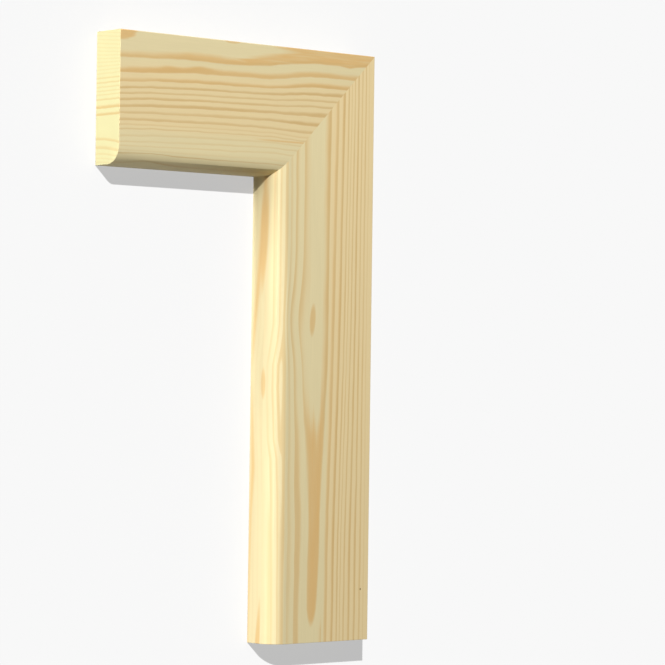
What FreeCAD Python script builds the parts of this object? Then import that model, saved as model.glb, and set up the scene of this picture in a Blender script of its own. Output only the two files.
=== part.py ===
"""Corner of a bullnose architrave: a leg and a head of the same planed pine moulding, mitred together.

The corner lies on its flat back, face up. X runs along the head, Y along the leg, Z out of the wall.
The origin is the middle of the bounding box, on the plane of the back.
Sizes are in millimetres.
"""

import os

import FreeCAD
import Part

# Driving dimensions
FACE_WIDTH = 69.0  # across the moulding, outer edge to opening edge
THICKNESS = 20.0  # back to face
NOSE_RADIUS = 10.0  # bullnose along the opening edge
ARRIS_RADIUS = 0.5  # eased front arris along the outer edge
LEG_LENGTH = 319.0  # upright piece, along its outer edge to the long point of the mitre
HEAD_LENGTH = 175.0  # cross piece, along its outer edge to the long point of the mitre

# Long point of the mitre, shared by both pieces
CORNER = FreeCAD.Vector(HEAD_LENGTH / 2, LEG_LENGTH / 2, 0)
MITRE_DIRECTION = FreeCAD.Vector(1, 1, 0)  # plan direction of the mitre line, at half a right angle
MITRE_NORMAL = FreeCAD.Vector(1, -1, 0)

UP = FreeCAD.Vector(0, 0, 1)
SAW_OVERRUN = 1.0  # how far the mitre cut runs past the moulding on each side


def tangent_arc(centre, radius, start_direction, end_direction):
    """Quarter arc about centre, from one unit direction to the next."""
    middle_direction = (start_direction + end_direction).normalize()
    start = centre + start_direction * radius
    middle = centre + middle_direction * radius
    end = centre + end_direction * radius
    return Part.Arc(start, middle, end).toShape()


def moulding_section(y):
    """Closed section of the moulding in the plane at y, as the leg carries it: nose towards -X."""
    outer_x = CORNER.x
    nose_x = outer_x - FACE_WIDTH
    towards_opening = FreeCAD.Vector(-1, 0, 0)
    towards_outside = FreeCAD.Vector(1, 0, 0)

    def at(x, z):
        return FreeCAD.Vector(x, y, z)

    nose_centre = at(nose_x + NOSE_RADIUS, THICKNESS - NOSE_RADIUS)
    arris_centre = at(outer_x - ARRIS_RADIUS, THICKNESS - ARRIS_RADIUS)
    back = Part.makeLine(at(outer_x, 0), at(nose_x, 0))
    opening_edge = Part.makeLine(at(nose_x, 0), at(nose_x, THICKNESS - NOSE_RADIUS))
    nose = tangent_arc(nose_centre, NOSE_RADIUS, towards_opening, UP)
    face = Part.makeLine(at(nose_x + NOSE_RADIUS, THICKNESS), at(outer_x - ARRIS_RADIUS, THICKNESS))
    arris = tangent_arc(arris_centre, ARRIS_RADIUS, UP, towards_outside)
    outer_edge = Part.makeLine(at(outer_x, THICKNESS - ARRIS_RADIUS), at(outer_x, 0))
    return Part.Face(Part.Wire([back, opening_edge, nose, face, arris, outer_edge]))


def mitre_offcut():
    """Wedge that the saw takes off the opening side of the leg's top, above the mitre line."""
    beyond = FreeCAD.Vector(CORNER.x, CORNER.y, -SAW_OVERRUN) + MITRE_DIRECTION * SAW_OVERRUN
    run = FACE_WIDTH + 2 * SAW_OVERRUN
    short_point = beyond - MITRE_DIRECTION * run
    square_corner = FreeCAD.Vector(short_point.x, beyond.y, beyond.z)
    outline = Part.makePolygon([beyond, short_point, square_corner, beyond])
    return Part.Face(outline).extrude(UP * (THICKNESS + 2 * SAW_OVERRUN))


def mitred_length(length):
    """A length of moulding that runs down from the corner, square at its foot and mitred at its top."""
    stock = moulding_section(CORNER.y - length).extrude(FreeCAD.Vector(0, length, 0))
    return stock.cut(mitre_offcut())


def architrave_leg():
    """Upright beside the opening."""
    return mitred_length(LEG_LENGTH)


def architrave_head():
    """Cross piece above the opening: the same cut, turned over about the mitre line."""
    return mitred_length(HEAD_LENGTH).mirror(CORNER, MITRE_NORMAL)


def main():
    os.makedirs("parts", exist_ok=True)
    pieces = {"architrave_leg": architrave_leg(), "architrave_head": architrave_head()}
    for name, shape in pieces.items():
        solid = shape.Solids[0]
        solid.exportStep(f"parts/{name}.step")
        box = solid.BoundBox
        print(f"{name}: {len(shape.Solids)} solid, valid {solid.isValid()}, {solid.Volume:.1f} mm3")
        print(f"  X {box.XMin:.2f} to {box.XMax:.2f}, Y {box.YMin:.2f} to {box.YMax:.2f}, Z {box.ZMin:.2f} to {box.ZMax:.2f}")


main()
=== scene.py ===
"""Corner of a bullnose pine architrave, lying face up on a pale floor.

A leg and a head of the same planed moulding meet in a mitre. Each is shaped from a squared bar as a
joiner would do it, and finished as solid pine: a field of growth rings runs through the face, nose and
edges of each piece, and the head's sawn end has rings of its own. Lengths are in metres, apart from the
wood's own figure, in millimetres.
"""

import math
from collections import namedtuple

import bmesh
import bpy
from bpy.props import FloatProperty, FloatVectorProperty, IntProperty, PointerProperty
from mathutils import Matrix, Vector


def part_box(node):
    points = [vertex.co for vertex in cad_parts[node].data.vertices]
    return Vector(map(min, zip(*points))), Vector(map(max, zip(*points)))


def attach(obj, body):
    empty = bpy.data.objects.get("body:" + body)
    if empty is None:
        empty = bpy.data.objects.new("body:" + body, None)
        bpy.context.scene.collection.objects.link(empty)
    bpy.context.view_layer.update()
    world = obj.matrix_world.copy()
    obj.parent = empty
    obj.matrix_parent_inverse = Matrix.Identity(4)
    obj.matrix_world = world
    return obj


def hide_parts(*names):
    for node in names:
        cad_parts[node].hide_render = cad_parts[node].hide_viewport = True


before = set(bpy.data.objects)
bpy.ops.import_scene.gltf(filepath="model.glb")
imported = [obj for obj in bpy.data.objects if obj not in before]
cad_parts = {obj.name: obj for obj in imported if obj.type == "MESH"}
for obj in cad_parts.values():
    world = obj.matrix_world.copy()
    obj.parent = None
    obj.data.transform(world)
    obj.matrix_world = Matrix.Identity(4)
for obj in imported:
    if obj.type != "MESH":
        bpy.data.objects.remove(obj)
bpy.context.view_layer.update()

bl_info = {
    "name": "Bullnose Architrave Corner",
    "version": (1, 0, 0),
    "blender": (4, 5, 0),
    "location": "3D View > Sidebar > Architrave",
    "description": "Builds a mitred corner of bullnose pine architrave, and a stage to view it on",
    "category": "Object",
}

BODY = "root"
LEG_NODE = "architrave_leg"
HEAD_NODE = "architrave_head"
LEG_PIECE = "leg_moulding"
HEAD_PIECE = "head_moulding"
X, Y, Z = 0, 1, 2
MM = 0.001

# The two bars, and the long point of the mitre that they share
LEG_LOW, LEG_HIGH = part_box(LEG_NODE)
HEAD_LOW, HEAD_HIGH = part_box(HEAD_NODE)
CORNER = Vector((LEG_HIGH.x, HEAD_HIGH.y, 0))
THICKNESS = LEG_HIGH.z
NOSE_RADIUS = THICKNESS / 2
SAW_OVERRUN = 0.010
SHARP_ANGLE = math.radians(60)
TOUCH = 1e-6  # how close a corner counts as lying on a plane


class MouldingSizes(bpy.types.PropertyGroup):
    """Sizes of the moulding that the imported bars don't give."""

    nose_radius: FloatProperty(
        name="Nose radius", description="Bullnose along the opening edge",
        default=NOSE_RADIUS, unit="LENGTH", subtype="DISTANCE")
    nose_segments: IntProperty(
        name="Nose segments", description="Flats that make up the bullnose", default=32, min=4)
    arris_radius: FloatProperty(
        name="Arris radius", description="Eased front arris along the outer edge",
        default=0.0005, unit="LENGTH", subtype="DISTANCE")
    sawn_ease: FloatProperty(
        name="Sawn edge ease", description="Light sanding of the back edges and the square ends",
        default=0.0002, unit="LENGTH", subtype="DISTANCE")
    ease_segments: IntProperty(
        name="Ease segments", description="Flats that make up each eased edge", default=3, min=1)


class PineFinish(bpy.types.PropertyGroup):
    """Colours and surface of the bare planed pine."""

    earlywood: FloatVectorProperty(
        name="Earlywood", description="Pale spring growth", default=(0.722, 0.620, 0.361),
        size=3, subtype="COLOR")
    warm_earlywood: FloatVectorProperty(
        name="Warm earlywood", description="Spring growth where the rings stand close",
        default=(0.756, 0.604, 0.332), size=3, subtype="COLOR")
    sawn_earlywood: FloatVectorProperty(
        name="Sawn earlywood", description="Spring growth across the sawn ends",
        default=(0.658, 0.612, 0.334), size=3, subtype="COLOR")
    amber: FloatVectorProperty(
        name="Amber latewood", description="Summer growth where it is cut broad",
        default=(0.685, 0.450, 0.186), size=3, subtype="COLOR")
    brown: FloatVectorProperty(
        name="Ring edge", description="Dense last growth at the sharp edge of a ring",
        default=(0.566, 0.367, 0.140), size=3, subtype="COLOR")
    knot: FloatVectorProperty(
        name="Pin knot", description="Heart of the pin knot", default=(0.200, 0.130, 0.045),
        size=3, subtype="COLOR")
    planed_roughness: FloatProperty(
        name="Planed roughness", description="Roughness along the grain", default=0.58, subtype="FACTOR")
    sawn_roughness: FloatProperty(
        name="Sawn roughness", description="Roughness of end grain", default=0.78, subtype="FACTOR")
    ring_relief: FloatProperty(
        name="Ring relief", description="Height that the hard latewood stands proud by",
        default=0.00003, unit="LENGTH", subtype="DISTANCE")


class StudioStage(bpy.types.PropertyGroup):
    """Floor, lamps and camera."""

    floor_colour: FloatVectorProperty(
        name="Floor", description="Matte floor, as it throws light back at the object",
        default=(0.076, 0.076, 0.076), size=3, subtype="COLOR")
    floor_seen: FloatVectorProperty(
        name="Floor seen", description="Part of the floor's white that the camera sees shaded",
        default=(0.2, 0.2, 0.2), size=3, subtype="COLOR")
    floor_glow: FloatProperty(
        name="Floor glow", description="Part of the floor's white that the camera sees in shadow too",
        default=0.5)
    key: FloatProperty(
        name="Key", description="Light from the key sun on the face, where 1 shows colours as written",
        default=0.48)
    floor_key: FloatProperty(
        name="Floor key", description="Light from the same side on the floor alone", default=2.14)
    overhead: FloatProperty(
        name="Overhead", description="Light from the soft box above the head", default=0.275)
    shoulder: FloatProperty(
        name="Shoulder", description="Light from the soft box below the key", default=0.21)
    front_fill: FloatProperty(
        name="Front fill", description="Light from the soft box on the foot's side", default=0.25)
    near_strip: FloatProperty(
        name="Near strip", description="Light from the low strip beside the opening", default=0.39)
    far_strip: FloatProperty(
        name="Far strip", description="Light from the low strip beyond the head", default=0.416)
    fill_strip: FloatProperty(
        name="Fill strip", description="Light from the low strip beyond the foot", default=0.09)
    outer_strip: FloatProperty(
        name="Outer strip", description="Light from the low strip beside the outer edge", default=0.2)
    ambient: FloatProperty(name="Ambient", description="Even light from all round", default=0.05)
    camera_lens: FloatProperty(
        name="Lens", description="Focal length in millimetres, on a 36 mm sensor", default=162.7)
    camera_eye: FloatVectorProperty(
        name="Eye", description="Where the camera stands", default=(-1.01577, -0.02169, 1.24085),
        size=3, subtype="XYZ", unit="LENGTH")
    camera_aim: FloatVectorProperty(
        name="Aim", description="Point of the face that the camera looks at",
        default=(0.0591, 0.0076, 0.0200), size=3, subtype="XYZ", unit="LENGTH")
    camera_up: FloatVectorProperty(
        name="Up", description="Direction that stands upright in the picture",
        default=(-0.0218, 0.9998, 0.0048), size=3, subtype="DIRECTION")


# Shader maths

class Value:
    """A number that varies over a surface. Arithmetic on it adds Math nodes."""

    def __init__(self, shader, socket):
        self.shader = shader
        self.socket = socket

    def __add__(self, other):
        return self.shader.math("ADD", self, other)

    def __radd__(self, other):
        return self.shader.math("ADD", other, self)

    def __sub__(self, other):
        return self.shader.math("SUBTRACT", self, other)

    def __rsub__(self, other):
        return self.shader.math("SUBTRACT", other, self)

    def __mul__(self, other):
        return self.shader.math("MULTIPLY", self, other)

    def __rmul__(self, other):
        return self.shader.math("MULTIPLY", other, self)

    def __truediv__(self, other):
        return self.shader.math("DIVIDE", self, other)

    def __rtruediv__(self, other):
        return self.shader.math("DIVIDE", other, self)

    def __abs__(self):
        return self.shader.math("ABSOLUTE", self)


class Shader:
    """Builds one node tree."""

    def __init__(self, tree):
        self.tree = tree
        tree.nodes.clear()

    def node(self, kind, settings=None, inputs=None, output=0):
        """Adds a node: its settings first, then the values or links of its sockets."""
        made = self.tree.nodes.new(kind)
        for name, setting in (settings or {}).items():
            if name == "points":
                self.draw_curve(made.mapping, setting)
            else:
                setattr(made, name, setting)
        for key, term in (inputs or {}).items():
            if isinstance(term, Value):
                self.tree.links.new(term.socket, made.inputs[key])
            else:
                made.inputs[key].default_value = term
        return Value(self, made.outputs[output]) if made.outputs else None

    def math(self, operation, *terms):
        return self.node("ShaderNodeMath", {"operation": operation}, dict(enumerate(terms)))

    @staticmethod
    def draw_curve(mapping, points):
        """Puts a float curve through points in the unit square."""
        curve = mapping.curves[0]
        while len(curve.points) < len(points):
            curve.points.new(0.5, 0.5)
        for knot, place in zip(curve.points, points):
            knot.location = place
            knot.handle_type = "VECTOR"
        mapping.update()

    def curve(self, value, points):
        """Broken line through (value, result) points, in any units."""
        (low, high), (bottom, top) = [(min(axis), max(axis)) for axis in zip(*points)]
        unit = [((x - low) / (high - low), (y - bottom) / (top - bottom)) for x, y in points]
        share = (value - low) / (high - low)
        drawn = self.node("ShaderNodeFloatCurve", {"points": unit}, {"Value": share})
        return bottom + drawn * (top - bottom)

    def rise(self, value, start, end):
        """Smooth step from 0 at start to 1 at end. An end below start turns it round."""
        return self.node("ShaderNodeMapRange", {"interpolation_type": "SMOOTHSTEP"},
                         {"Value": value, "From Min": start, "From Max": end})

    def largest(self, *values):
        first, *others = values
        for other in others:
            first = self.math("MAXIMUM", first, other)
        return first

    def vector(self, x, y, z):
        return self.node("ShaderNodeCombineXYZ", inputs={"X": x, "Y": y, "Z": z})

    def cloud(self, vector, detail=2.0, roughness=0.5):
        """Noise from -1 to 1, about 0, with features one unit of vector across."""
        noise = self.node("ShaderNodeTexNoise", {"noise_dimensions": "3D"},
                          {"Vector": vector, "Scale": 1.0, "Detail": detail, "Roughness": roughness})
        return noise * 2 - 1

    def bell(self, *offsets):
        """1 at the middle, falling away as the offsets leave 0."""
        square = sum(offset * offset for offset in offsets)
        return self.math("EXPONENT", square * -1)

    def blend(self, factor, first, second):
        """Number between two numbers."""
        return self.node("ShaderNodeMix", {"data_type": "FLOAT"}, {0: factor, 2: first, 3: second})

    def mix(self, factor, first, second):
        """Colour between two colours."""
        return self.node("ShaderNodeMix", {"data_type": "RGBA"},
                         {0: factor, 6: first, 7: second}, output=2)


# Growth of the wood

Rings = namedtuple("Rings", "count onset amber brown")
Growth = namedtuple("Growth", "along across height face end flame rim warm tone knot")


def leg_growth(shader, place):
    """Flat sawn leg: rings close into a flame down its middle, and run straight on both sides."""
    x, y, z = place
    along = CORNER.y / MM - y
    across = x - LEG_LOW.x / MM
    depth = THICKNESS / MM - z

    # Fibres swing out round the eye, sway along the nose and at the foot, and wander a little everywhere
    eye_along, eye_across = 145.5, 26.3
    bulge = shader.bell((along - eye_along) / 19.0)
    bulge_share = shader.rise(across, 27.0, 20.0) * shader.rise(across, 3.0, 12.0)
    foot_sway = shader.rise(along, 255.0, 305.0) * shader.bell((across - 24.0) / 10.0)
    nose_sway = shader.curve(along, [
        (0, 0), (148, 0), (160, -1.5), (170, -3.2), (182, -3.4), (192, -3), (210, -2.4), (220, -0.8),
        (240, -0.1), (260, 0.2), (310, 0.8), (330, 0.8)])
    nose_sway = nose_sway * shader.rise(across, 7.5, 5.0)
    # Round the nose the sway turns from running down the edge to running across the face
    nose = NOSE_RADIUS / MM
    down_share = 1 - across / nose
    across_share = shader.math("SQRT", shader.largest(across * (2 * nose - across), 0.0)) / nose
    left_sway = shader.curve(along, [
        (0, 0), (185, 0), (205, -0.5), (235, 0.3), (265, -0.2), (330, -0.2)])
    left_sway = left_sway * shader.bell((across - 17.0) / 7.0)
    drift = shader.cloud(shader.vector(along / 55.0, across / 14.0, depth / 14.0), detail=1.0)
    quiver = shader.cloud(shader.vector(along / 14.0, across / 5.0, depth / 5.0), detail=1.0)
    straight = (across + bulge * bulge_share * 3.3 + foot_sway * 1.3 - nose_sway * across_share
                + left_sway + drift * 0.5 + quiver * 0.25)

    # Distance from the flame's middle, then from the heart, which draws away towards the foot
    sideways = shader.curve(straight, [
        (-6, -24), (1.75, -23.5), (6.6, -21.65), (9.8, -20.5), (13.5, -16), (15.2, -14), (19.1, -11.2),
        (20.8, -9.5), (24.8, -6.9), (28.9, 0), (33.3, 6.8), (36, 9.5), (38.3, 11.5), (75, 49)])
    heart = shader.curve(along, [
        (0, 28.4), (100, 28.69), (160, 28.72), (175, 28.76), (200, 28.95), (225, 29.35), (250, 29.72),
        (275, 29.7), (290, 30), (300, 30.25), (306, 30.5), (312, 30.84), (330, 30.95)])
    tongues = shader.curve(across, [
        (0, 190), (22, 190), (26, 194), (28, 188), (29.5, 196), (30.5, 200), (31.5, 192), (33, 186),
        (36, 180), (69, 180)])
    frays = shader.cloud(shader.vector(along / 30.0, across / 1.3, depth / 1.3), detail=2.0)
    core = shader.bell(sideways / 8.0) * shader.rise(along - tongues + frays * 8.0, -20.0, 28.0)
    shortfall = shader.largest(30.3 - heart, 0.0)
    beside_flame = shader.rise(across, 24.5, 20.5)
    heart_beside = shader.blend(beside_flame, heart, shader.math("MINIMUM", heart, 29.85))
    steady = shader.rise(across, 14.0, 8.0)
    swayed_depth = depth + nose_sway * down_share
    deep = shader.blend(steady, heart_beside, 28.6) + swayed_depth * 0.6 + core * shortfall
    radius = shader.math("SQRT", sideways * sideways + deep * deep)
    flame_count = shader.curve(radius, [
        (0, -9), (28.35, 0), (30.84, 1), (32.97, 2), (35.26, 3), (36.21, 4), (37.45, 5), (39.2, 6),
        (41.8, 7), (43.6, 8), (60, 16)])

    # Right of the flame the rings stand steeper, and lean in towards the foot
    lean = shader.curve(along, [
        (0, -1.3), (79, -0.45), (100, 0), (150, 0.6), (200, 1.6), (225, 2.5), (250, 3), (275, 3.4),
        (330, 3.7)])
    steep = across + lean * shader.rise(across, 66.0, 48.0) + drift * 0.3 + quiver * 0.25
    steep_count = shader.curve(steep, [
        (30, -0.5), (38.3, 1), (42.8, 2), (47.2, 3), (50.25, 4), (52.2, 5), (54.8, 6), (57.8, 7),
        (60.65, 8), (63.5, 9), (65.8, 10), (67.3, 11), (69, 12), (76, 16)])
    on_right = shader.rise(steep, 38.7, 39.2)
    count = shader.blend(on_right, flame_count, steep_count)

    # The rings beside the nose are softer than those on the right
    left = shader.rise(across, 27.0, 21.0)
    low = shader.rise(along, 190.0, 240.0)
    soft = shader.curve(count, [(-9, 1), (2, 1), (2.2, 0.5), (3, 0.5), (3.2, 0.62), (16, 0.62)])
    first_right = shader.rise(across, 33.0, 35.5) * shader.rise(count, 1.2, 1.0)
    first_right = first_right * shader.rise(along, 220.0, 190.0)
    amber = shader.curve(count, [
        (-9, 0.9), (1, 0.9), (1.2, 0.38), (2, 0.38), (2.2, 0.25), (3, 0.25), (3.2, 0.06), (9, 0.06),
        (10.5, 0), (16, 0)])
    amber = shader.blend(left, amber - first_right * 0.42, (0.36 + low * 0.1) * soft)
    late_eighth = shader.bell((count - 7.7) / 0.35) * shader.rise(along, 190.0, 130.0) * 0.2
    brown = shader.curve(count, [
        (-9, 0.1), (1, 0.1), (1.2, 0.38), (2, 0.38), (2.2, 0.62), (3, 0.62), (3.2, 0.48), (4, 0.48),
        (4.2, 0.38), (5, 0.38), (5.2, 0.52), (6, 0.52), (6.2, 0.63), (7, 0.63), (7.2, 0.6), (8, 0.6),
        (8.2, 0.45), (9, 0.45), (9.2, 0.2), (10, 0.2), (10.2, 0.1), (16, 0.1)])
    brown = shader.blend(left, brown + first_right * 0.4 - late_eighth, soft * 0.3)
    onset = shader.curve(count, [
        (-9, 0.55), (1, 0.55), (1.2, 0.4), (2, 0.4), (2.2, 0.45), (3, 0.45), (3.2, 0.48), (6, 0.48),
        (6.2, 0.42), (7, 0.42), (7.2, 0.46), (16, 0.46)])
    broad_left = shader.bell((count - 1.7) / 0.35) * left * shader.rise(along, 225.0, 250.0)
    # Painted shade: near the nose the fourth ring is made darker and broader
    painted_nose_shade = shader.rise(across, 11.0, 9.0) * shader.bell((count - 3.6) / 0.45)
    thin_left = shader.bell((count - 0.75) / 0.35) * shader.rise(across, 27.0, 24.5)
    thin_left = thin_left * shader.rise(along, 135.0, 160.0) * shader.rise(along, 215.0, 190.0)
    onset = onset - broad_left * 0.12 - painted_nose_shade * 0.3 + thin_left * 0.15
    brown = brown + painted_nose_shade * 0.12

    # The opening edge is almost clear, with one stray band, an eye and a streak at the foot
    on_edge = shader.rise(across, 5.0, 1.0)
    clear = 1 - on_edge * shader.rise(depth, 4.0, 8.0) * 0.75
    band_depth = shader.curve(along, [
        (0, 8), (79, 9.7), (100, 11), (125, 14.2), (150, 17.2), (175, 19.2), (200, 18.1), (225, 17),
        (250, 18.4), (275, 19), (330, 19.6)])
    band_width = shader.curve(along, [
        (0, 1.6), (79, 2), (100, 3), (125, 2.1), (150, 1.5), (200, 1.3), (225, 1.7), (250, 1.2), (330, 1)])
    band_strength = shader.curve(along, [
        (0, 0.6), (70, 0.65), (85, 0.9), (110, 0.95), (130, 0.75), (150, 0.7), (175, 0.15), (200, 0.65),
        (225, 0.8), (250, 0.65), (330, 0.4)])
    band = shader.bell((depth - band_depth) / band_width) * band_strength

    def lens(sideways_offset, width, middle_along, length):
        """Lens of latewood, soft at its rim, where a ring just touches the surface."""
        wide = sideways_offset / width
        long = (along - middle_along) / length
        return shader.rise(wide * wide + long * long, 1.35, 0.3)

    broad_depth = 10.2 + (along - 98.0) * 0.038
    broad_band = lens(depth - broad_depth, 3.3, 98.0, 33.0) * shader.rise(along, 55.0, 90.0) * 0.9
    edge_eye = lens(depth - 9.6, 1.9, 180.0, 8.5) * 0.65
    streak_depth = 12.2 + (along - 328.0) * 0.067
    foot_streak = lens(depth - streak_depth, 2.1, 328.0, 32.0) * 0.85
    tilt = (along - eye_along) * 0.06
    eye = lens(across - eye_across + tilt, 2.1, eye_along, 8.8) * shader.rise(depth, 3.0, 1.0)
    edge_flame = shader.largest(band, broad_band, edge_eye, foot_streak) * on_edge

    # Two faint lines run along the nose towards the foot
    nose_foot = shader.rise(along, 230.0, 262.0)
    front_line = shader.bell((across - 1.75) / 0.7) * nose_foot * 0.38
    face_line = shader.bell((across - 6.5) / 1.0) * nose_foot * 0.35
    flame = shader.largest(eye * 0.6, edge_flame, front_line, face_line)

    # A pin knot, warmer wood on the right, the edge lighter at the foot, and painted light and shade by the
    # nose and on the edge
    knot_x = (across - 63.2) / 0.45
    knot_y = (along - 291.4) / 0.65
    knot = shader.rise(knot_x * knot_x + knot_y * knot_y, 1.4, 0.2)
    warm = shader.rise(across, 36.0, 39.5)
    # Painted light: the nose is made paler near the head
    painted_nose_light = (shader.bell((across - 1.9) / 1.5) * shader.rise(along, 190.0, 60.0)
               * shader.rise(depth, 17.0, 11.0))
    # Painted shade: the face is darkened in a strip beside the nose
    painted_shade_beside_nose = shader.bell((across - 8.8) / 1.3)
    edge_foot = on_edge * shader.rise(along, 250.0, 315.0)
    # Painted light: the opening edge is made paler part way down, away from the head
    painted_edge_light = shader.curve(along, [
        (0, 0), (125, 0), (145, 0.04), (180, 0.08), (200, 0.13), (225, 0.1), (260, 0.08), (300, 0.02),
        (330, 0.02)])
    painted_edge_light = painted_edge_light * on_edge * shader.bell((depth - 11.0) / 3.5)
    tone = 1 + painted_nose_light * 0.38 - painted_shade_beside_nose * 0.1 + edge_foot * 0.07 + painted_edge_light - face_line * 0.2
    return Growth(
        along, across, z, Rings(count, onset, amber * clear, brown * clear),
        Rings(count, onset, amber * 0.6, brown * 0.6), flame, eye * 0.22, warm, tone, knot)


def head_growth(shader, place):
    """Rift sawn head: rings run along the piece, and the first one broadens into a flame at its top."""
    x, y, z = place
    along = x - HEAD_LOW.x / MM
    across = CORNER.y / MM - y
    depth = THICKNESS / MM - z

    # Rings climb towards the mitre, most of all near the top edge, and follow the nose round
    drift = shader.cloud(shader.vector(along / 45.0, across / 12.0, depth / 12.0), detail=1.0)
    quiver = shader.cloud(shader.vector(along / 9.0, across / 3.5, depth / 3.5), detail=1.0)
    wander = drift * 0.35 + quiver * 0.4
    climb = shader.curve(along, [(0, -2.6), (20, -1.05), (50, 0), (80, 0.7), (100, 1.3), (180, 1.3)])
    climb_share = shader.curve(across, [
        (0, 1.05), (38, 1.05), (44, 0.6), (51, 0.6), (56, 0.95), (59, 0.6), (62, 0.1), (69, 0.1)])
    surge = shader.curve(along, [
        (0, 0), (100, 0), (106, 0.45), (114, 1.5), (124, 2.6), (134, 3), (150, 3.1), (180, 3.4)])
    surge_share = shader.curve(across, [
        (0, 1), (16, 1), (22, 0.9), (26, 0.55), (31, 0.5), (36, 0.08), (42, -0.3), (48, -0.4), (69, -0.3)])
    dip = shader.curve(along, [
        (0, -0.8), (22, -0.95), (50, 0), (80, -0.35), (100, -0.65), (130, 0), (180, 0)])
    dip = dip * shader.rise(across, 24.0, 21.0)
    round_nose = shader.curve(depth, [(0, 0), (0.8, 0.1), (4.6, 1.6), (10, 5.7), (20, 15.7)])
    reach = across + round_nose * shader.rise(across, 56.0, 62.0)
    nose_sway = shader.bell((along - 20.0) / 13.0) * shader.rise(reach, 61.0, 65.5) * 2.9
    span = reach + climb * climb_share + surge * surge_share + dip + nose_sway + wander
    count = shader.curve(span, [
        (-20, -3), (12.8, 2), (19.4, 3), (24.6, 4), (28.1, 5), (30.95, 6), (34.1, 7), (37.9, 8), (41.7, 9),
        (45.5, 10), (47.8, 11), (49.8, 12), (53.2, 13), (56.3, 14), (58.9, 15), (61.9, 16), (63.9, 17),
        (71.4, 18), (77, 19), (95, 22)])
    amber = shader.curve(count, [
        (-3, 0), (2, 0), (2.1, 0.75), (3, 0.75), (3.2, 0.72), (4, 0.72), (4.2, 0.06), (22, 0.06)])
    brown = shader.curve(count, [
        (-3, 0), (2, 0), (2.1, 0.26), (3, 0.26), (3.2, 0.42), (4, 0.42), (4.2, 0.64), (5, 0.64), (5.2, 0.45),
        (6, 0.45), (6.2, 0.52), (7, 0.52), (7.2, 0.61), (8, 0.61), (8.2, 0.46), (9, 0.46), (9.2, 0.5),
        (10, 0.5), (10.2, 0.2), (11, 0.2), (11.2, 0.33), (12, 0.33), (12.2, 0.2), (15, 0.2), (15.2, 0.08),
        (16, 0.08), (16.2, 0.4), (17, 0.4), (17.2, 0.32), (18, 0.32), (18.2, 0.15), (22, 0.15)])

    # Some rings are strong at one end only, and the second and third swell and fade
    eighth = shader.bell((count - 8.7) / 0.35) * shader.rise(along, 85.0, 110.0) * 0.22
    last = shader.curve(along, [(0, 0.38), (30, 0.34), (60, 0.1), (80, -0.04), (180, -0.04)])
    last = last * shader.bell((count - 17.25) / 0.9)
    third = shader.bell((count - 3.7) / 0.3)
    second = shader.bell((count - 2.7) / 0.35)
    fade = 1 - third * shader.rise(along, 30.0, 19.0) * 0.35 + second * shader.rise(along, 75.0, 40.0) * 0.2
    swell = shader.bell((along - 31.0) / 6.0) * 0.15 + shader.bell((along - 53.0) / 8.0) * 0.22
    onset = shader.curve(count, [
        (-3, 0.48), (3, 0.48), (3.2, 0.52), (4, 0.52), (4.2, 0.44), (7, 0.44), (7.2, 0.38), (8, 0.38),
        (8.2, 0.44), (12, 0.44), (12.2, 0.5), (17, 0.5), (17.2, 0.62), (22, 0.62)])
    onset = onset - swell * shader.bell((count - 2.6) / 0.35)

    # The first ring, the flame that it opens into, and where other rings graze the top edge
    fingers = shader.cloud(shader.vector(along / 26.0, across / 1.5, depth / 1.5), detail=2.0)
    level = across + wander
    band_top = shader.curve(along, [(0, 11.2), (20, 10.2), (45, 8.5), (60, 8.4), (80, 9), (180, 9)])
    band_strength = shader.curve(along, [(0, 0.66), (25, 0.7), (45, 0.95), (180, 0.95)])
    band = shader.rise(level - band_top, -1.2, 2.4) * band_strength
    start = shader.curve(across, [
        (-2, 106), (1, 105), (1.8, 111), (2.6, 115), (3.4, 110), (4.2, 104), (5.2, 100), (6.2, 96),
        (7.2, 91), (8, 86), (9, 76), (70, 76)])
    tongue = shader.rise(along - start + fingers * 8, -7.0, 10.0) * 0.95
    flame_foot = shader.curve(along, [
        (0, 14.6), (20, 13.9), (40, 12.8), (55, 12.6), (75, 12.9), (88, 12.2), (100, 11.4), (106, 10.1),
        (114, 9.3), (124, 8.4), (134, 7.6), (150, 7.7), (157, 8.4), (162, 7.4), (180, 5)])
    above_foot = shader.rise(level - flame_foot, 0.1, -0.8)
    pale_streaks = 1 - shader.rise(fingers, -0.25, 0.6) * shader.rise(along, 80.0, 105.0) * 0.45
    near_face = shader.rise(depth, 6.0, 2.0)
    rim = shader.bell((level - flame_foot + 1.0) / 0.8) * near_face * 0.3
    flame = shader.largest(band, tongue) * above_foot * pale_streaks * near_face

    def patch(middle, length, width):
        from_middle = (along - middle) / length
        from_edge = across / width
        square = from_middle * from_middle + from_edge * from_edge + fingers * 0.5
        return shader.rise(square, 1.25, 0.65) * near_face

    red_streak = shader.bell((across - 50.7) / 0.5) * shader.rise(along, 86.0, 104.0)
    flame = shader.largest(
        flame, patch(0.0, 10.5, 5.4) * 0.95, patch(74.0, 5.5, 1.4) * 0.55, red_streak * 0.8)

    # Rings on the sawn end bow towards the face
    end_bow = z * 0.1 * shader.rise(across, 22.0, 8.0) + z * z * 0.006 * shader.rise(across, 46.0, 56.0)
    end_span = across - end_bow + quiver * 0.25
    end_count = shader.curve(end_span, [
        (-5, -3), (0.5, 0), (22.5, 11), (24.9, 12), (27.3, 13), (29.5, 14), (31.5, 15), (33.4, 16),
        (36, 17), (40.3, 18), (43.9, 19), (54.3, 19.45), (56.4, 20), (61, 21), (63.8, 22), (70, 25)])
    end_amber = shader.curve(end_span, [
        (-5, 0.16), (22, 0.18), (24.5, 0.4), (27, 0.45), (29, 0.3), (33, 0.3), (35.8, 0.5), (40, 0.85),
        (43.5, 0.7), (56, 0.5), (61, 0.4), (64, 0.2), (75, 0.2)])
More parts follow.
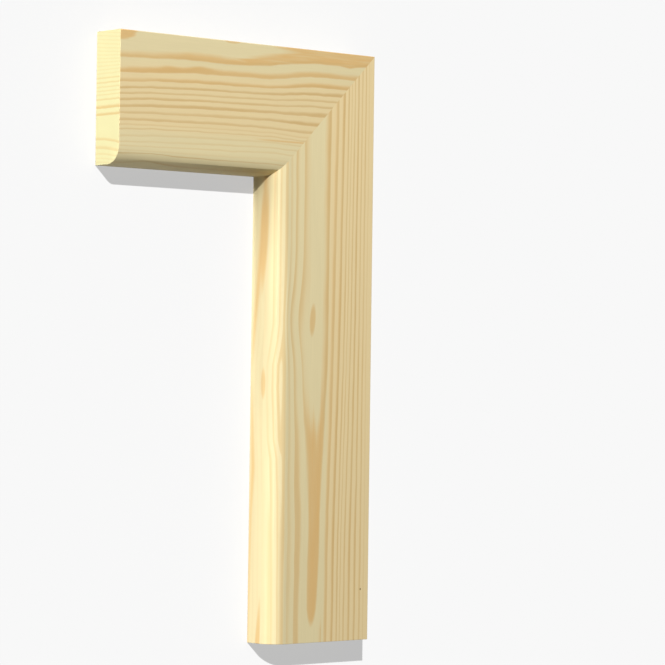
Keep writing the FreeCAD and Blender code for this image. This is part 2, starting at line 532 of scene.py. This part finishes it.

    # Warmer wood across the middle, and painted light: the upper round of the nose is made paler
    warm = shader.rise(across, 10.0, 24.0) * shader.rise(across, 54.0, 47.0) * 0.9
    tone = 0.955 + shader.rise(across, 59.0, 61.5) * shader.rise(depth, 9.0, 4.0) * 0.05
    return Growth(
        along, across, z, Rings(count, onset, amber * fade, brown * fade + eighth + last),
        Rings(end_count, 0.45, end_amber * 0.25, end_amber * 0.8), flame, rim, warm, tone, 0.0)


def latewood(shader, rings):
    """Summer growth of each ring, and its dense last growth. Both stop at a sharp edge."""
    share = shader.math("FRACT", rings.count)
    stop = shader.rise(share, 1.0, 0.86)
    summer = shader.rise(share, rings.onset - 0.15, rings.onset + 0.25)
    dense = shader.rise(share, rings.onset, rings.onset + 0.34)
    return summer * stop * rings.amber, dense * stop * rings.brown


def pine_material(name, growth_of, grain_axis):
    """Bare planed pine over one piece's growth."""
    finish = bpy.context.scene.architrave_finish
    material = bpy.data.materials.new(name)
    material.use_nodes = True
    shader = Shader(material.node_tree)

    object_place = shader.node("ShaderNodeTexCoord", output="Object")
    split = shader.node("ShaderNodeSeparateXYZ", inputs={"Vector": object_place})
    outputs = split.socket.node.outputs
    place = [Value(shader, outputs[axis]) / MM for axis in (X, Y, Z)]
    wood = growth_of(shader, place)

    # End grain shows where the surface faces along the fibres
    normal = shader.node("ShaderNodeTexCoord", output="Normal")
    facing = shader.node("ShaderNodeSeparateXYZ", inputs={"Vector": normal})
    end_grain = shader.rise(abs(Value(shader, facing.socket.node.outputs[grain_axis])), 0.75, 0.95)

    streaks = shader.cloud(
        shader.vector(wood.along / 38.0, wood.across / 0.9, wood.height / 0.9), detail=3.0)
    blotch = shader.cloud(
        shader.vector(wood.along / 40.0, wood.across / 8.0, wood.height / 8.0), detail=1.0)
    uneven = wood.face._replace(onset=wood.face.onset - blotch * 0.12)
    amber_face, brown_face = latewood(shader, uneven)
    amber_end, brown_end = latewood(shader, wood.end)
    amber_face = shader.largest(amber_face, wood.flame) * (1 + blotch * 0.2 + streaks * 0.2)
    amber = shader.blend(end_grain, amber_face, amber_end)
    brown_face = shader.largest(brown_face, wood.rim)
    brown = shader.blend(end_grain, brown_face * (1 + blotch * 0.3), brown_end)

    # Fibres along the grain, and open pores on the sawn ends
    fibre = shader.cloud(
        shader.vector(wood.along / 16.0, wood.across / 0.32, wood.height / 0.32), detail=2.0)
    pores = shader.cloud(
        shader.vector(wood.along / 0.5, wood.across / 0.28, wood.height / 0.28), detail=2.0)
    texture = shader.blend(end_grain, fibre, pores)

    early = shader.mix(wood.warm, (*finish.earlywood, 1), (*finish.warm_earlywood, 1))
    sawn = shader.mix(end_grain, early, (*finish.sawn_earlywood, 1))
    summer = shader.mix(amber, sawn, (*finish.amber, 1))
    ringed = shader.mix(brown, summer, (*finish.brown, 1))
    knotted = shader.mix(wood.knot, ringed, (*finish.knot, 1))
    # The colour is scaled by the painted light and shade that each growth gives, along with its own lighter
    # and darker wood, and by fibre, streaks and blotch
    shade = wood.tone * (1 + texture * 0.03 + streaks * 0.025 + blotch * 0.02)
    colour = shader.node("ShaderNodeVectorMath", {"operation": "SCALE"},
                         {"Vector": knotted, "Scale": shade})

    late = shader.largest(amber, brown)
    roughness = shader.blend(end_grain, finish.planed_roughness - late * 0.08, finish.sawn_roughness)
    relief = late * 0.6 + texture * 0.25
    normal_out = shader.node("ShaderNodeBump", inputs={
        "Strength": 1.0, "Distance": finish.ring_relief, "Height": relief}, output="Normal")
    surface = shader.node("ShaderNodeBsdfPrincipled", inputs={
        "Base Color": colour, "Roughness": roughness + texture * 0.04, "Normal": normal_out,
        "Specular IOR Level": 0.1})
    shader.node("ShaderNodeOutputMaterial", inputs={"Surface": surface})
    return material


# Joinery

def front_edge(bar, across, side):
    """The bar's front edge on one side, as a list for the bevel."""
    return [edge for edge in bar.edges if all(
        math.isclose(vert.co[Z], THICKNESS, abs_tol=TOUCH)
        and math.isclose(vert.co[across], side, abs_tol=TOUCH) for vert in edge.verts)]


def round_over(bar, edges, radius, segments):
    bmesh.ops.bevel(bar, geom=edges, offset=radius, offset_type="OFFSET", segments=segments,
                    profile=0.5, affect="EDGES", material=-1)


def saw_mitre(bar, waste_side):
    """Saws through the long point at half a right angle, and closes the cut."""
    everything = bar.verts[:] + bar.edges[:] + bar.faces[:]
    cut = bmesh.ops.bisect_plane(bar, geom=everything, dist=1e-7, plane_co=CORNER,
                                 plane_no=waste_side, clear_outer=True)
    rim = [part for part in cut["geom_cut"] if isinstance(part, bmesh.types.BMEdge)]
    bmesh.ops.edgeloop_fill(bar, edges=rim)


def sand_sawn_edges(bar, along, across, low, high, radius, segments):
    """Takes the sharpness off the square end and the two long back edges."""
    def at(vert, axis, value):
        return math.isclose(vert.co[axis], value, abs_tol=TOUCH)

    end_rim = [edge for edge in bar.edges if all(at(vert, along, low[along]) for vert in edge.verts)]
    back_edges = [edge for edge in bar.edges if all(at(vert, Z, low[Z]) for vert in edge.verts) and (
        all(at(vert, across, low[across]) for vert in edge.verts)
        or all(at(vert, across, high[across]) for vert in edge.verts))]
    round_over(bar, end_rim + back_edges, radius, segments)


def make_moulding(name, node, along, across, low, high, material):
    """One length of moulding, from squared bar to finished piece."""
    sizes = bpy.context.scene.architrave_sizes
    long_high = high.copy()
    long_high[along] += SAW_OVERRUN
    waste_side = Vector((0, 0, 0))
    waste_side[along] = 1
    waste_side[across] = -1

    bar = bmesh.new()
    bmesh.ops.create_cube(bar, size=1.0)
    bmesh.ops.scale(bar, vec=long_high - low, verts=bar.verts)
    bmesh.ops.translate(bar, vec=(low + long_high) / 2, verts=bar.verts)
    round_over(bar, front_edge(bar, across, low[across]), sizes.nose_radius, sizes.nose_segments)
    round_over(bar, front_edge(bar, across, high[across]), sizes.arris_radius, sizes.ease_segments)
    saw_mitre(bar, waste_side)
    sand_sawn_edges(bar, along, across, low, high, sizes.sawn_ease, sizes.ease_segments)
    bmesh.ops.recalc_face_normals(bar, faces=bar.faces)

    mesh = bpy.data.meshes.new(name)
    bar.to_mesh(mesh)
    bar.free()
    mesh.shade_smooth()
    mesh.set_sharp_from_angle(angle=SHARP_ANGLE)
    mesh.materials.append(material)
    piece = bpy.data.objects.new(name, mesh)
    bpy.context.scene.collection.objects.link(piece)
    flats = piece.modifiers.new("true_flats", "WEIGHTED_NORMAL")
    flats.keep_sharp = True
    flats.weight = 100
    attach(piece, BODY)
    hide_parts(node)
    return piece


class ARCHITRAVE_OT_make_leg(bpy.types.Operator):
    """Build the upright leg"""

    bl_idname = "architrave.make_leg"
    bl_label = "Make Leg"

    def execute(self, context):
        pine = pine_material("leg_pine", leg_growth, Y)
        make_moulding(LEG_PIECE, LEG_NODE, Y, X, LEG_LOW, LEG_HIGH, pine)
        return {"FINISHED"}


class ARCHITRAVE_OT_make_head(bpy.types.Operator):
    """Build the cross piece over the opening"""

    bl_idname = "architrave.make_head"
    bl_label = "Make Head"

    def execute(self, context):
        pine = pine_material("head_pine", head_growth, X)
        make_moulding(HEAD_PIECE, HEAD_NODE, X, Y, HEAD_LOW, HEAD_HIGH, pine)
        return {"FINISHED"}


# Stage

FLOOR_SPAN = 8.0
FLOOR_DROP = 0.0001
KEY_DIRECTION = Vector((-0.516, 0.488, 0.704))
KEY_ANGLE = math.radians(0.8)
SUN_PLACE = Vector((0, 0, 3))
SENSOR_MM = 36.0
FACE_AIM = (0.02, -0.05, 0)
# The low strips skim the edges from just under the floor's level, and the floor doesn't block them
STRIP_AIM = (0.02, -0.05, -0.03)
STRIP_SPAN = (0.44, 0.06)
SoftBox = namedtuple("SoftBox", "name place aim span")
SOFT_BOXES = (
    SoftBox("overhead", (0, 0.30, 0.45), (0, 0.12, 0.02), (0.25, 0.25)),
    SoftBox("shoulder", (-0.809, 0.646, 0.625), FACE_AIM, (0.4, 0.4)),
    SoftBox("front_fill", (-1.484, -1.303, 1.554), FACE_AIM, (0.8, 0.8)),
    SoftBox("near_strip", (-1.155, 0.378, -0.03), STRIP_AIM, STRIP_SPAN),
    SoftBox("far_strip", (-0.605, 1.033, -0.03), STRIP_AIM, STRIP_SPAN),
    SoftBox("fill_strip", (-0.605, -1.133, -0.03), STRIP_AIM, STRIP_SPAN),
    SoftBox("outer_strip", (1.270, -0.05, -0.03), STRIP_AIM, STRIP_SPAN))
BACKDROP = 0.94


def seen(shader):
    """1 where the camera looks at a surface, also in a mirror or through glass, and 0 for stray light."""
    return shader.largest(*[shader.node("ShaderNodeLightPath", output=ray) for ray in (
        "Is Camera Ray", "Is Glossy Ray", "Is Transmission Ray")])


def make_floor(stage):
    material = bpy.data.materials.new("pale_floor")
    material.use_nodes = True
    shader = Shader(material.node_tree)
    in_view = seen(shader)
    paint = shader.mix(in_view, (*stage.floor_colour, 1), (*stage.floor_seen, 1))
    glow = shader.mix(in_view, (0, 0, 0, 1), (1, 1, 1, 1))
    surface = shader.node("ShaderNodeBsdfPrincipled", inputs={
        "Base Color": paint, "Roughness": 0.9, "Specular IOR Level": 0.0,
        "Emission Color": glow, "Emission Strength": stage.floor_glow})
    shader.node("ShaderNodeOutputMaterial", inputs={"Surface": surface})
    sheet = bmesh.new()
    bmesh.ops.create_grid(sheet, x_segments=1, y_segments=1, size=FLOOR_SPAN / 2)
    bmesh.ops.translate(sheet, vec=(0, 0, -FLOOR_DROP), verts=sheet.verts)
    mesh = bpy.data.meshes.new("floor")
    sheet.to_mesh(mesh)
    sheet.free()
    mesh.materials.append(material)
    floor = bpy.data.objects.new("floor", mesh)
    bpy.context.scene.collection.objects.link(floor)
    return floor


def hang_lamp(name, kind, place, direction, energy):
    """A lamp whose light comes from the given direction."""
    lamp = bpy.data.lights.new(name, kind)
    lamp.energy = energy
    holder = bpy.data.objects.new(name, lamp)
    holder.location = place
    holder.rotation_euler = direction.to_track_quat("Z", "Y").to_euler()
    bpy.context.scene.collection.objects.link(holder)
    return holder


def hang_sun(name, share):
    """A sun from the key's direction that gives a level surface the share of light."""
    energy = math.pi * share / KEY_DIRECTION.normalized().z
    holder = hang_lamp(name, "SUN", SUN_PLACE, KEY_DIRECTION, energy)
    holder.data.angle = KEY_ANGLE
    return holder


def hang_soft_box(box, share):
    """A soft box that gives a surface straight ahead the share of light of a plain white sky."""
    offset = Vector(box.place) - Vector(box.aim)
    energy = share * (math.pi * offset.length) ** 2
    holder = hang_lamp(box.name, "AREA", box.place, offset, energy)
    holder.data.shape = "RECTANGLE"
    holder.data.size, holder.data.size_y = box.span
    holder.visible_camera = False
    return holder


def light_only(holder, lit, pieces):
    """Keeps a lamp to the objects it is meant for, with nothing but the pieces in its way."""
    for use, objects in (("receiver", lit), ("blocker", pieces)):
        group = bpy.data.collections.new(f"{holder.name}_{use}s")
        for item in objects:
            group.objects.link(item)
        setattr(holder.light_linking, f"{use}_collection", group)


def light_world(ambient):
    """Even light from all round, with a pale backdrop behind the floor's edge."""
    world = bpy.data.worlds.new("studio")
    world.use_nodes = True
    bpy.context.scene.world = world
    shader = Shader(world.node_tree)
    strength = ambient + seen(shader) * (BACKDROP - ambient)
    glow = shader.node("ShaderNodeBackground", inputs={"Color": (1, 1, 1, 1), "Strength": strength})
    shader.node("ShaderNodeOutputWorld", inputs={"Surface": glow})


def set_camera(stage):
    forward = (Vector(stage.camera_aim) - Vector(stage.camera_eye)).normalized()
    right = forward.cross(Vector(stage.camera_up)).normalized()
    upright = right.cross(forward)
    lens = bpy.data.cameras.new("camera")
    lens.lens = stage.camera_lens
    lens.sensor_width = SENSOR_MM
    lens.clip_end = 20.0
    camera = bpy.data.objects.new("camera", lens)
    turn = Matrix((right, upright, -forward)).transposed().to_4x4()
    camera.matrix_world = Matrix.Translation(stage.camera_eye) @ turn
    bpy.context.scene.collection.objects.link(camera)
    bpy.context.scene.camera = camera


class ARCHITRAVE_OT_set_stage(bpy.types.Operator):
    """Lay the floor, hang the lamps and set the camera"""

    bl_idname = "architrave.set_stage"
    bl_label = "Set Stage"

    def execute(self, context):
        stage = context.scene.architrave_stage
        floor = make_floor(stage)
        pieces = [bpy.data.objects[name] for name in (LEG_PIECE, HEAD_PIECE)]
        # The wood and the floor each have their own sun, so that the floor's white is set apart
        light_only(hang_sun("key", stage.key), pieces, pieces)
        light_only(hang_sun("floor_key", stage.floor_key), [floor], pieces)
        for box in SOFT_BOXES:
            light_only(hang_soft_box(box, getattr(stage, box.name)), pieces, pieces)
        light_world(stage.ambient)
        set_camera(stage)
        context.scene.view_settings.view_transform = "Standard"
        return {"FINISHED"}


class VIEW3D_PT_architrave(bpy.types.Panel):
    """Sizes, finish and stage, with the steps that build them"""

    bl_label = "Architrave Corner"
    bl_space_type = "VIEW_3D"
    bl_region_type = "UI"
    bl_category = "Architrave"

    def draw(self, context):
        scene = context.scene
        for group in (scene.architrave_sizes, scene.architrave_finish, scene.architrave_stage):
            box = self.layout.box()
            for name in group.__annotations__:
                box.prop(group, name)
        for step in STEPS:
            self.layout.operator(step.bl_idname)


GROUPS = (MouldingSizes, PineFinish, StudioStage)
STEPS = (ARCHITRAVE_OT_make_leg, ARCHITRAVE_OT_make_head, ARCHITRAVE_OT_set_stage)
CLASSES = (*GROUPS, *STEPS, VIEW3D_PT_architrave)


def register():
    for item in CLASSES:
        bpy.utils.register_class(item)
    bpy.types.Scene.architrave_sizes = PointerProperty(type=MouldingSizes)
    bpy.types.Scene.architrave_finish = PointerProperty(type=PineFinish)
    bpy.types.Scene.architrave_stage = PointerProperty(type=StudioStage)


def unregister():
    del bpy.types.Scene.architrave_stage
    del bpy.types.Scene.architrave_finish
    del bpy.types.Scene.architrave_sizes
    for item in reversed(CLASSES):
        bpy.utils.unregister_class(item)


def main():
    register()
    bpy.ops.architrave.make_leg()
    bpy.ops.architrave.make_head()
    bpy.ops.architrave.set_stage()


if __name__ == "__main__":
    main()
